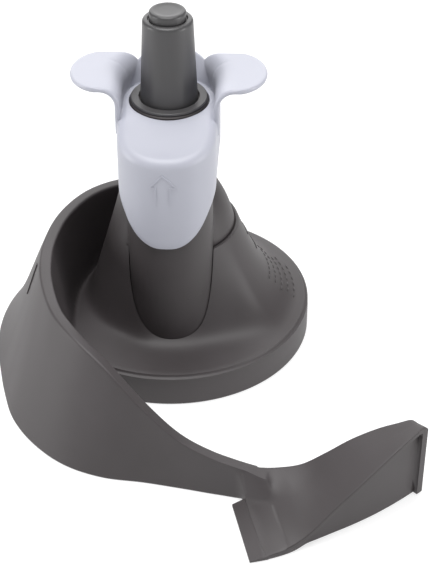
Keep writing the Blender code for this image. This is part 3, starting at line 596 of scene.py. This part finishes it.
NECK_STATIONS = (                              # height, radius
    (43.4, 22.5), (44.6, 22.5), (46.0, 22.2), (52.0, 20.2), (57.0, 17.8), (60.0, 15.9), (64.0, 14.1),
    (70.0, 13.2), (80.0, 13.2), (93.0, 13.2),
)
TOWER_FOOT, HOUSING_TOP, COLUMN_TOP = 6.4, 81.2, 93.6
BORE_RADIUS, BORE_TOP = 9.0, 80.0
SCREW_CIRCLE, SCREW_AZIMUTHS = 16.0, (30.0, 150.0, 270.0)


def neck_radius(height, azimuth):
    """The neck is waisted, except over the pocket, where it carries on the hub's straight flank."""
    waist = along(NECK_STATIONS, 1, height)
    straight = RING_RADIUS - 2.4 - (height - RING_HEIGHT) * FLANK_SLOPE
    straight += (waist - straight) * smooth_step(height, 50.0, 64.0)
    return waist + (min(straight, waist) - waist) * flank_share(azimuth)


neck_turn = [2.5 * k for k in range(144)]
neck = [[polar(a, neck_radius(z, a), z) for a in neck_turn] for z in levels(43.4, 93.0, 1.2)]
neck += [[polar(a, r, z) for a in neck_turn] for r, z in ((12.9, 93.4), (12.5, COLUMN_TOP))]
tower = skin("tower_moulding", neck)
combine(tower, prism("barrel", tower_plan(), levels(TOWER_FOOT, 45.0, 2.0)), "UNION")
front = [(14.6 * math.cos(a), 14.6 * math.sin(a) - 17.0)
         for a in (math.pi + math.pi * k / 48 for k in range(49))]
flank = [(14.6 - 2.1 * k / 8, -17.0 + 17.0 * k / 8) for k in range(1, 9)]
combine(tower, prism("housing", front + flank + [(-x, y) for x, y in reversed(flank)],
                     levels(31.0, HOUSING_TOP, 1.5)), "UNION")
soften(tower, 2.4)
combine(tower, turn("bore", [(BORE_RADIUS, 1.0), (BORE_RADIUS, BORE_TOP - 4.0), (2.0, BORE_TOP)], 64),
        "DIFFERENCE")
combine(tower, turn("socket_seat", [(12.0, 1.0), (12.0, 26.3)], 64), "DIFFERENCE")
combine(tower, block("chamber", (-6.0, -29.0, 26.0), (6.0, -14.5, 90.0)), "DIFFERENCE")
combine(tower, block("window", (-4.8, -15.5, 39.0), (4.8, -6.0, 49.0)), "DIFFERENCE")
for azimuth in SCREW_AZIMUTHS:
    a = math.radians(azimuth)
    hole = circle(SCREW_CIRCLE * math.cos(a), SCREW_CIRCLE * math.sin(a), 1.6)
    combine(tower, prism("screw_hole", hole, (3.0, 19.4)), "DIFFERENCE")
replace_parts(finish_piece(tower, charcoal, "paddle"), "hub_tower")

# ---- stem --------------------------------------------------------------------------------------
# Tapered grip of slightly greyer plastic on top of the column, with a stepped button pressed into its
# end and a flat ring round its foot that closes the bore of the slider.

STEM_TOP = 123.6
slate = moulded("slate_nylon", ((0.050, 0.049, 0.050), (0.060, 0.058, 0.060)), 0.38, 0.25)
grip = [(9.8, 93.9), (9.8, 94.5)] + [(9.75 - 1.25 * k / 12, 95.0 + 27.1 * k / 12) for k in range(13)]
grip += [(8.5 - 1.2 * (1 - math.cos(a)), 122.4 + 1.2 * math.sin(a))
         for a in (math.pi / 2 * k / 6 for k in range(1, 7))]
grip += [(6.75, STEM_TOP), (6.6, STEM_TOP - 0.25), (6.6, STEM_TOP - 0.7), (4.3, STEM_TOP - 0.7),
         (4.3, STEM_TOP - 9.3), (0.01, STEM_TOP - 9.3)]
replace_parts(finish_piece(turn("stem_grip", grip), slate, "paddle"), "stem")

knob = [(4.0, STEM_TOP - 9.0), (4.0, STEM_TOP - 0.4), (6.2, STEM_TOP - 0.4), (6.2, STEM_TOP + 2.0)]
knob += [(6.2 - 0.9 * (1 - math.cos(a)), STEM_TOP + 2.0 + 0.9 * math.sin(a))
         for a in (math.pi / 2 * k / 6 for k in range(1, 7))]
knob += [(4.9, STEM_TOP + 2.95), (4.5, STEM_TOP + 2.8), (3.0, STEM_TOP + 2.7), (0.01, STEM_TOP + 2.66)]
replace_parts(finish_piece(turn("stem_end_button", knob, 72), slate, "paddle"), "stem_button")

collar = [(10.25, 93.9), (13.0, 93.9), (13.0, 94.55), (12.8, 94.75), (10.45, 94.75), (10.25, 94.55)]
ash = moulded("ash_ring", ((0.055, 0.053, 0.055), (0.065, 0.063, 0.065)), 0.4, 0.25)
seal = skin("stem_ring", [[polar(3.75 * k, r, z) for r, z in collar] for k in range(96)], closed=True)
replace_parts(finish_piece(seal, ash, "paddle"), "stem_seal")

# ---- release slider ----------------------------------------------------------------------------
# Pale grey sleeve that slides on the housing.  A crown with a rolled edge closes it round the stem,
# a tab leans back behind it, and a sheet bends out of each flank as a finger ear.

SLIDER_TURN = math.radians(-2.6)               # it sits a little askew in its play
SLIDER_FRONT, SLIDER_BACK, SLIDER_WALL = 16.6, 17.5, 1.6
SLIDER_TOP, SLIDER_FALL, SLIDER_BORE = 93.2, 5.2, 13.7
SHIELD_BACK, SHIELD_BLUNT = 17.0, 0.92          # middle of the shield's round front, and how blunt it is
PETAL_FOOT, PETAL_TOP, PETAL_THICK = 87.0, 104.2, 1.8
EAR_MIDDLE, EAR_LENGTH, EAR_HALF, EAR_BEND = 22.0, 11.2, 13.3, 6.0
TAB_MIDDLE, TAB_LENGTH, TAB_HALF, TAB_BEND, TAB_TILT, TAB_CLIMB = 8.2, 15.3, 14.6, 6.0, 36.0, 90.0
EDGE_STATIONS = (                              # distance behind the axis, height of the lower edge
    (-34.0, 54.0), (-33.2, 54.3), (-31.6, 56.2), (-30.1, 58.2), (-28.0, 61.2), (-25.8, 64.4),
    (-22.0, 68.0), (-15.0, 72.5), (-8.0, 75.5), (0.0, 77.5), (18.0, 79.0),
)


def blunted(value):
    """Cosine or sine of a round corner, drawn out so that the corner is a little square."""
    return math.copysign(abs(value) ** SHIELD_BLUNT, value)


def sleeve_plan(front=56, side=12, back=60):
    """Plan of the sleeve: a blunt half round in front, straight flanks, a half circle behind."""
    points = []
    for k in range(front + 1):
        a = math.pi + math.pi * k / front
        c, s = math.cos(a), math.sin(a)
        points.append((SLIDER_FRONT * blunted(c), -SHIELD_BACK + SLIDER_FRONT * blunted(s)))
    points += [(SLIDER_FRONT + (SLIDER_BACK - SLIDER_FRONT) * k / side, -SHIELD_BACK + SHIELD_BACK * k / side)
               for k in range(1, side)]
    points += [(SLIDER_BACK * math.cos(math.pi * k / back), SLIDER_BACK * math.sin(math.pi * k / back))
               for k in range(back + 1)]
    points += [(-SLIDER_BACK + (SLIDER_BACK - SLIDER_FRONT) * k / side, -SHIELD_BACK * k / side)
               for k in range(1, side)]
    return [Vector(p) for p in points]


def crown_height(y):
    return SLIDER_TOP - SLIDER_FALL * smooth_step(-y, 10.0, 36.0)


def askew(x, y, z):
    c, s = math.cos(SLIDER_TURN), math.sin(SLIDER_TURN)
    return at_axis(c * x - s * y, s * x + c * y, z)


def sleeve_section(here, outward):
    """Outline of the sleeve's wall and crown at one place of its plan."""
    def at(inset, z, turned=True):
        p = here - outward * inset
        return askew(p.x, p.y, z) if turned else at_axis(p.x, p.y, z)

    front_y = -SHIELD_BACK - math.sqrt(max(0.0, SLIDER_FRONT ** 2 - here.x ** 2))
    round_y = here.y if here.y > -SHIELD_BACK else front_y
    low = along(EDGE_STATIONS, 1, round_y)
    roll = 3.4
    edge = here - outward * roll
    top = crown_height(edge.y)
    bore = here.normalized() * (SLIDER_BORE + 0.3)
    points = [at(0.5, low), at(0.15, low + 0.15), at(0.0, low + 0.5)]
    points += [at(0.0, low + 0.5 + (top - roll - low - 0.5) * k / 14) for k in range(1, 15)]
    for k in range(1, 9):
        a = math.pi / 2 * k / 8
        points.append(at(roll * (1 - math.cos(a)), top - roll * (1 - math.sin(a))))
    for k in range(1, 11):
        p = edge.lerp(bore, k / 10)
        points.append(askew(p.x, p.y, crown_height(p.y)))
    for r, drop in ((SLIDER_BORE + 0.08, 0.1), (SLIDER_BORE, 0.35), (SLIDER_BORE, 2.2)):
        p = here.normalized() * r
        points.append(askew(p.x, p.y, crown_height(p.y) - drop))
    points.append(at(3.6, top - 2.4))
    points.append(at(SLIDER_WALL, top - 4.2, False))
    points += [at(SLIDER_WALL, top - 4.2 + (low + 0.4 - top + 4.2) * k / 6, False) for k in range(1, 7)]
    points.append(at(1.1, low))
    return points


plan = sleeve_plan()
sections = []
for i, here in enumerate(plan):
    run = plan[(i + 1) % len(plan)] - plan[i - 1]
    sections.append(sleeve_section(here, Vector((run.y, -run.x)).normalized()))
slider = skin("slider_sleeve", sections, closed=True)


def petal_strip(base, end, bend, bend_z, tilt, swell, late=0.0):
    """Strip across a petal: up the wall from its base, round the bend to its tilt and on to its end.

    A late strip starts that share of the way round the bend, where the petal's edge is cut away.
    """
    reach = max(0.0, end - base - PETAL_THICK / 2)
    turned = min(math.radians(tilt), math.acos(max(0.0, 1.0 - reach / bend)))
    rest = max(0.02, (reach - bend * (1 - math.cos(turned))) / max(0.1, math.sin(turned)))
    climb, curve = bend_z - PETAL_FOOT, bend * turned
    first = (climb + curve) * late + 3.5 * late ** 8
    path = []
    for k in range(41):
        at = first + (climb + curve + rest - first) * k / 40
        a = min(max(0.0, (at - climb) / bend), turned)
        beyond = max(0.0, at - climb - curve)
        path.append((base + bend * (1 - math.cos(a)) + beyond * math.sin(turned),
                     min(PETAL_FOOT + at, bend_z) + bend * math.sin(a) + beyond * math.cos(turned), a))
    half = PETAL_THICK / 2 * swell
    outer = [(u + half * math.cos(a), z - half * math.sin(a)) for u, z, a in path]
    inner = [(u - half * math.cos(a), z + half * math.sin(a)) for u, z, a in path]
    u, z, _ = path[-1]
    tip = [(u + half * math.cos(turned - t), z - half * math.sin(turned - t))
           for t in (math.pi * k / 6 for k in range(1, 6))]
    return outer + tip + inner[::-1]


def petal(middle, length, half_width, bend, bend_z, tilt, base_of, late_from=99.0, count=44):
    """Sheet that bends out of the sleeve's round wall and ends in half an ellipse."""
    rows = []
    for k in range(count + 1):
        across = -half_width * math.cos(math.pi * k / count) * 0.9999
        end = middle + length * math.sqrt(1.0 - abs(across / half_width) ** 2.1)
        fade = max(0.0, (abs(across) - half_width + 0.9) / 0.9)
        swell = max(0.08, math.sqrt(max(0.0, 1.0 - fade ** 2)))
        late = max(0.0, (across - late_from) / half_width) ** 0.5
        base = base_of(across) - PETAL_THICK / 2 - 0.05
        rows.append((across, petal_strip(base, end, bend, bend_z, tilt, swell, late)))
    return rows


def back_wall(across):
    return math.sqrt(SLIDER_BACK ** 2 - across ** 2)


for side in (-1, 1):
    rows = petal(EAR_MIDDLE, EAR_LENGTH, EAR_HALF, EAR_BEND, PETAL_TOP - PETAL_THICK / 2 - EAR_BEND, 90.0,
                 lambda y: back_wall(max(0.0, y)), 6.5)
    combine(slider, skin("ear", [[askew(side * u, y, v) for u, v in line] for y, line in rows]), "UNION")
rows = petal(TAB_MIDDLE, TAB_LENGTH, TAB_HALF, TAB_BEND, TAB_CLIMB, TAB_TILT, back_wall)
combine(slider, skin("back_tab", [[askew(x, u, v) for u, v in line] for x, line in rows]), "UNION")
soften(slider, 1.0, rounds=4)


def shield_point(across, z, out):
    """Point on the shield's face, given along its curve from the middle, and off the face."""
    a = (across - 0.6) / SLIDER_FRONT - math.pi / 2
    c, s = math.cos(a), math.sin(a)
    reach = SLIDER_FRONT + out
    return askew(reach * blunted(c), -SHIELD_BACK + reach * blunted(s), z)


def ribbon(corners, width, steps=4):
    """Two edges, width apart, of a line through corners, with mitred turns."""
    line = [Vector(a).lerp(Vector(b), k / steps) for a, b in zip(corners, corners[1:]) for k in range(steps)]
    line.append(Vector(corners[-1]))
    edges = []
    for i, p in enumerate(line):
        before = (p - line[max(0, i - 1)]).normalized() if i else (line[1] - p).normalized()
        after = (line[min(len(line) - 1, i + 1)] - p).normalized() if i < len(line) - 1 else before
        side = Vector((-(before + after).y, (before + after).x)).normalized()
        half = width / 2 / max(0.5, side.dot(Vector((-before.y, before.x))))
        edges.append((p + side * half, p - side * half))
    return edges


ARROW = ((-2.1, 72.0), (-2.1, 78.6), (-3.9, 78.6), (0.0, 83.4), (3.9, 78.6), (2.1, 78.6), (2.1, 72.0))
arrow = [[shield_point(p.x, p.y, out) for p, out in ((a, -0.27), (a, 0.22), (b, 0.22), (b, -0.27))]
         for a, b in ribbon(ARROW, 0.46)]
combine(slider, skin("arrow", arrow), "UNION")
pale = moulded("pale_grey_abs", ((0.40, 0.407, 0.465), (0.42, 0.427, 0.485)), 0.42, 0.15)
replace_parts(finish_piece(slider, pale, "slider"), "release_slider")

# ---- latch -------------------------------------------------------------------------------------
# Turned steel rod and cross pin, wound steel spring, and a milky nylon pawl and spring stop.  They sit
# in the housing; lifting the slider draws the pawl's nose out of the bore.

ROD_Y, SPRING_RADIUS, SPRING_WIRE = -22.5, 3.6, 0.42
SPRING_LOW, SPRING_HIGH, SPRING_TURNS = 58.8, 74.2, 6.0


def metal(name, colour, roughness):
    """Turned or drawn steel: fine rings of tool marks and a gloss that varies along them."""
    mat = bpy.data.materials.new(name)
    mat.use_nodes = True
    nodes, links = mat.node_tree.nodes, mat.node_tree.links
    shader = nodes["Principled BSDF"]
    shader.inputs["Metallic"].default_value = 1.0
    place = nodes.new("ShaderNodeTexCoord")
    rings = nodes.new("ShaderNodeTexWave")
    rings.bands_direction = "Z"
    rings.inputs["Scale"].default_value = 900.0
    rings.inputs["Distortion"].default_value = 1.5
    links.new(place.outputs["Object"], rings.inputs["Vector"])
    tones = nodes.new("ShaderNodeValToRGB")
    tones.color_ramp.elements[0].color = (*(0.82 * c for c in colour), 1.0)
    tones.color_ramp.elements[1].color = (*colour, 1.0)
    links.new(rings.outputs["Fac"], tones.inputs["Fac"])
    links.new(tones.outputs["Color"], shader.inputs["Base Color"])
    gloss = nodes.new("ShaderNodeMapRange")
    gloss.inputs["To Min"].default_value = roughness
    gloss.inputs["To Max"].default_value = roughness + 0.12
    links.new(rings.outputs["Fac"], gloss.inputs["Value"])
    links.new(gloss.outputs["Result"], shader.inputs["Roughness"])
    bump = nodes.new("ShaderNodeBump")
    bump.inputs["Strength"].default_value = 0.12
    bump.inputs["Distance"].default_value = 0.01 * MM
    links.new(rings.outputs["Fac"], bump.inputs["Height"])
    links.new(bump.outputs["Normal"], shader.inputs["Normal"])
    return mat


bright_steel = metal("turned_steel", (0.62, 0.62, 0.63), 0.22)
milky = moulded("milky_nylon", ((0.60, 0.58, 0.50), (0.66, 0.64, 0.56)), 0.42, 0.2)


def shifted_turn(name, profile, x, y, steps=48):
    angles = [2 * math.pi * k / steps for k in range(steps)]
    return skin(name, [[at_axis(x + r * math.cos(a), y + r * math.sin(a), z) for a in angles]
                       for r, z in profile])


rod = [(1.5, 39.0), (1.9, 39.4), (1.9, 56.0), (3.9, 56.0), (4.2, 56.3), (4.2, 57.7), (3.9, 58.0),
       (1.9, 58.0), (1.9, 86.6), (1.4, 87.3)]
rod = shifted_turn("lift_rod_turned", rod, 0.0, ROD_Y)
pin_hole = [[at_axis(x, ROD_Y + y, 42.0 + z) for y, z in circle(0, 0, 0.9)] for x in (-5, 5)]
combine(rod, skin("pin_hole", pin_hole), "DIFFERENCE")
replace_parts(finish_piece(rod, bright_steel, "slider"), "lift_rod")

pin = [(-3.6, 0.6), (-3.4, 0.8), (3.4, 0.8), (3.6, 0.6)]
pin = skin("cross_pin", [[at_axis(x, ROD_Y + y, 42.0 + z) for y, z in circle(0, 0, r)] for x, r in pin])
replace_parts(finish_piece(pin, bright_steel, "slider"), "cam_pin")


def spring_tree():
    """Node tree that sweeps a wire along a helix of even pitch, with capped ends."""
    tree = bpy.data.node_groups.new("wound_spring", "GeometryNodeTree")
    tree.interface.new_socket("Geometry", in_out="OUTPUT", socket_type="NodeSocketGeometry")
    for name, kind in (("Turns", "NodeSocketFloat"), ("Radius", "NodeSocketFloat"),
                       ("Height", "NodeSocketFloat"), ("Wire", "NodeSocketFloat"),
                       ("Steps", "NodeSocketInt"), ("Material", "NodeSocketMaterial")):
        tree.interface.new_socket(name, in_out="INPUT", socket_type=kind)
    nodes, links = tree.nodes, tree.links
    given, made = nodes.new("NodeGroupInput"), nodes.new("NodeGroupOutput")
    spiral = nodes.new("GeometryNodeCurveSpiral")
    links.new(given.outputs["Steps"], spiral.inputs["Resolution"])
    links.new(given.outputs["Turns"], spiral.inputs["Rotations"])
    links.new(given.outputs["Radius"], spiral.inputs["Start Radius"])
    links.new(given.outputs["Radius"], spiral.inputs["End Radius"])
    links.new(given.outputs["Height"], spiral.inputs["Height"])
    ring = nodes.new("GeometryNodeCurvePrimitiveCircle")
    ring.inputs["Resolution"].default_value = 10
    links.new(given.outputs["Wire"], ring.inputs["Radius"])
    sweep = nodes.new("GeometryNodeCurveToMesh")
    sweep.inputs["Fill Caps"].default_value = True
    links.new(spiral.outputs["Curve"], sweep.inputs["Curve"])
    links.new(ring.outputs["Curve"], sweep.inputs["Profile Curve"])
    real = nodes.new("GeometryNodeRealizeInstances")
    links.new(sweep.outputs["Mesh"], real.inputs["Geometry"])
    dress = nodes.new("GeometryNodeSetMaterial")
    links.new(real.outputs["Geometry"], dress.inputs["Geometry"])
    links.new(given.outputs["Material"], dress.inputs["Material"])
    links.new(dress.outputs["Geometry"], made.inputs[0])
    return tree


spring = run_nodes("wound_spring", spring_tree(), Turns=SPRING_TURNS, Radius=SPRING_RADIUS * MM,
                   Height=(SPRING_HIGH - SPRING_LOW) * MM, Wire=SPRING_WIRE * MM, Steps=180,
                   Material=bright_steel)
spring.data.transform(Matrix.Translation(at_axis(0.0, ROD_Y, SPRING_LOW)))
finish_piece(spring, bright_steel, "paddle", 60.0)
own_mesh(spring)
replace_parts(spring, "slider_spring")

PAWL_SIDE = ((-25.7, 37.0), (-14.8, 37.0), (-14.8, 40.0), (-8.0, 40.0), (-6.6, 42.0), (-6.6, 45.0),
             (-9.0, 48.0), (-14.8, 48.0), (-14.8, 53.0), (-25.7, 53.0))
pawl_line = [tuple(p) for p in rounded([(y, z, 0.5) for y, z in PAWL_SIDE], 4)]
pawl = skin("latch_pawl", [[at_axis(x, y, z) for y, z in pawl_line] for x in (-4.2, 4.2)])
combine(pawl, block("rod_slot", (-2.3, ROD_Y - 2.2, 30.0), (2.3, ROD_Y + 5.2, 60.0)), "DIFFERENCE")
cam = ((-23.8, 40.8), (-21.2, 40.8), (-18.2, 48.0), (-18.2, 49.2), (-20.8, 49.2), (-23.8, 42.0))
combine(pawl, skin("cam", [[at_axis(x, y, z) for y, z in cam] for x in (-8, 8)]), "DIFFERENCE")
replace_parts(finish_piece(pawl, milky, "pawl"), "lock_pawl")

stop_plan = rounded([(-5.6, -28.6, 0.6), (5.6, -28.6, 0.6), (5.6, -14.9, 0.6), (-5.6, -14.9, 0.6)], 4)
stop = prism("spring_seat", stop_plan, (75.0, 75.4, 77.0, 77.4))
combine(stop, prism("rod_hole", circle(0, ROD_Y, 2.2), (70, 80)), "DIFFERENCE")
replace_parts(finish_piece(stop, milky, "paddle"), "spring_stop")

# ---- base --------------------------------------------------------------------------------------
# Charcoal plate that closes the tower from below, the milky hexagonal drive bush and three round-head
# screws.  The plate has moulded rings and the screws a cross recess.

PLATE_BORE = 10.2
plate_line = [(PLATE_BORE, 3.0), (24.0, 3.0), (24.3, 3.5), (25.5, 3.5), (25.8, 3.0), (39.6, 3.0), (40.0, 3.4),
              (40.0, 5.6), (39.6, 6.0), (PLATE_BORE, 6.0)]
plate_sections = [[polar(2.5 * k, r, z) for r, z in plate_line] for k in range(144)]
plate = skin("closing_plate", plate_sections, closed=True)
for azimuth in SCREW_AZIMUTHS:
    a = math.radians(azimuth)
    hole = circle(SCREW_CIRCLE * math.cos(a), SCREW_CIRCLE * math.sin(a), 1.7)
    combine(plate, prism("plate_hole", hole, (0.0, 9.0)), "DIFFERENCE")
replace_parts(finish_piece(plate, charcoal, "paddle"), "base_plate")

bush = turn("drive_bush", [(11.3, 6.4), (11.7, 6.8), (11.7, 25.6), (11.3, 26.0)], 96)
for k in range(12):
    a = math.radians(30 * k)
    groove = circle(11.9 * math.cos(a), 11.9 * math.sin(a), 0.5, 12)
    combine(bush, prism("groove", groove, (5.0, 30.0)), "DIFFERENCE")
corner = 7.4 / math.cos(math.pi / 6)
hexagon = [(corner * math.cos(math.pi / 3 * k), corner * math.sin(math.pi / 3 * k)) for k in range(6)]
combine(bush, prism("hexagon", hexagon, (2.0, 30.0)), "DIFFERENCE")
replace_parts(finish_piece(bush, milky, "paddle"), "drive_socket")

for i, azimuth in enumerate(SCREW_AZIMUTHS):
    a = math.radians(azimuth)
    x, y = SCREW_CIRCLE * math.cos(a), SCREW_CIRCLE * math.sin(a)
    head = [(2.2, 1.2), (2.7, 1.4), (3.0, 1.9), (3.0, 2.7), (1.25, 2.7)]
    for k in range(14):
        head += [(1.0, 3.0 + 0.8 * k), (1.3, 3.4 + 0.8 * k)]
    screw = shifted_turn("cross_screw_%d" % (i + 1), head + [(1.0, 14.4), (0.4, 15.4)], x, y, 32)
    for turned_by in (0.4, 0.4 + math.pi / 2):
        c, s = math.cos(turned_by), math.sin(turned_by)
        bar = [(x + u * c - v * s, y + u * s + v * c)
               for u, v in ((-1.5, -0.3), (1.5, -0.3), (1.5, 0.3), (-1.5, 0.3))]
        combine(screw, prism("recess", bar, (0.0, 2.2)), "DIFFERENCE")
    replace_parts(finish_piece(screw, bright_steel, "paddle"), "base_screw_%d" % (i + 1))
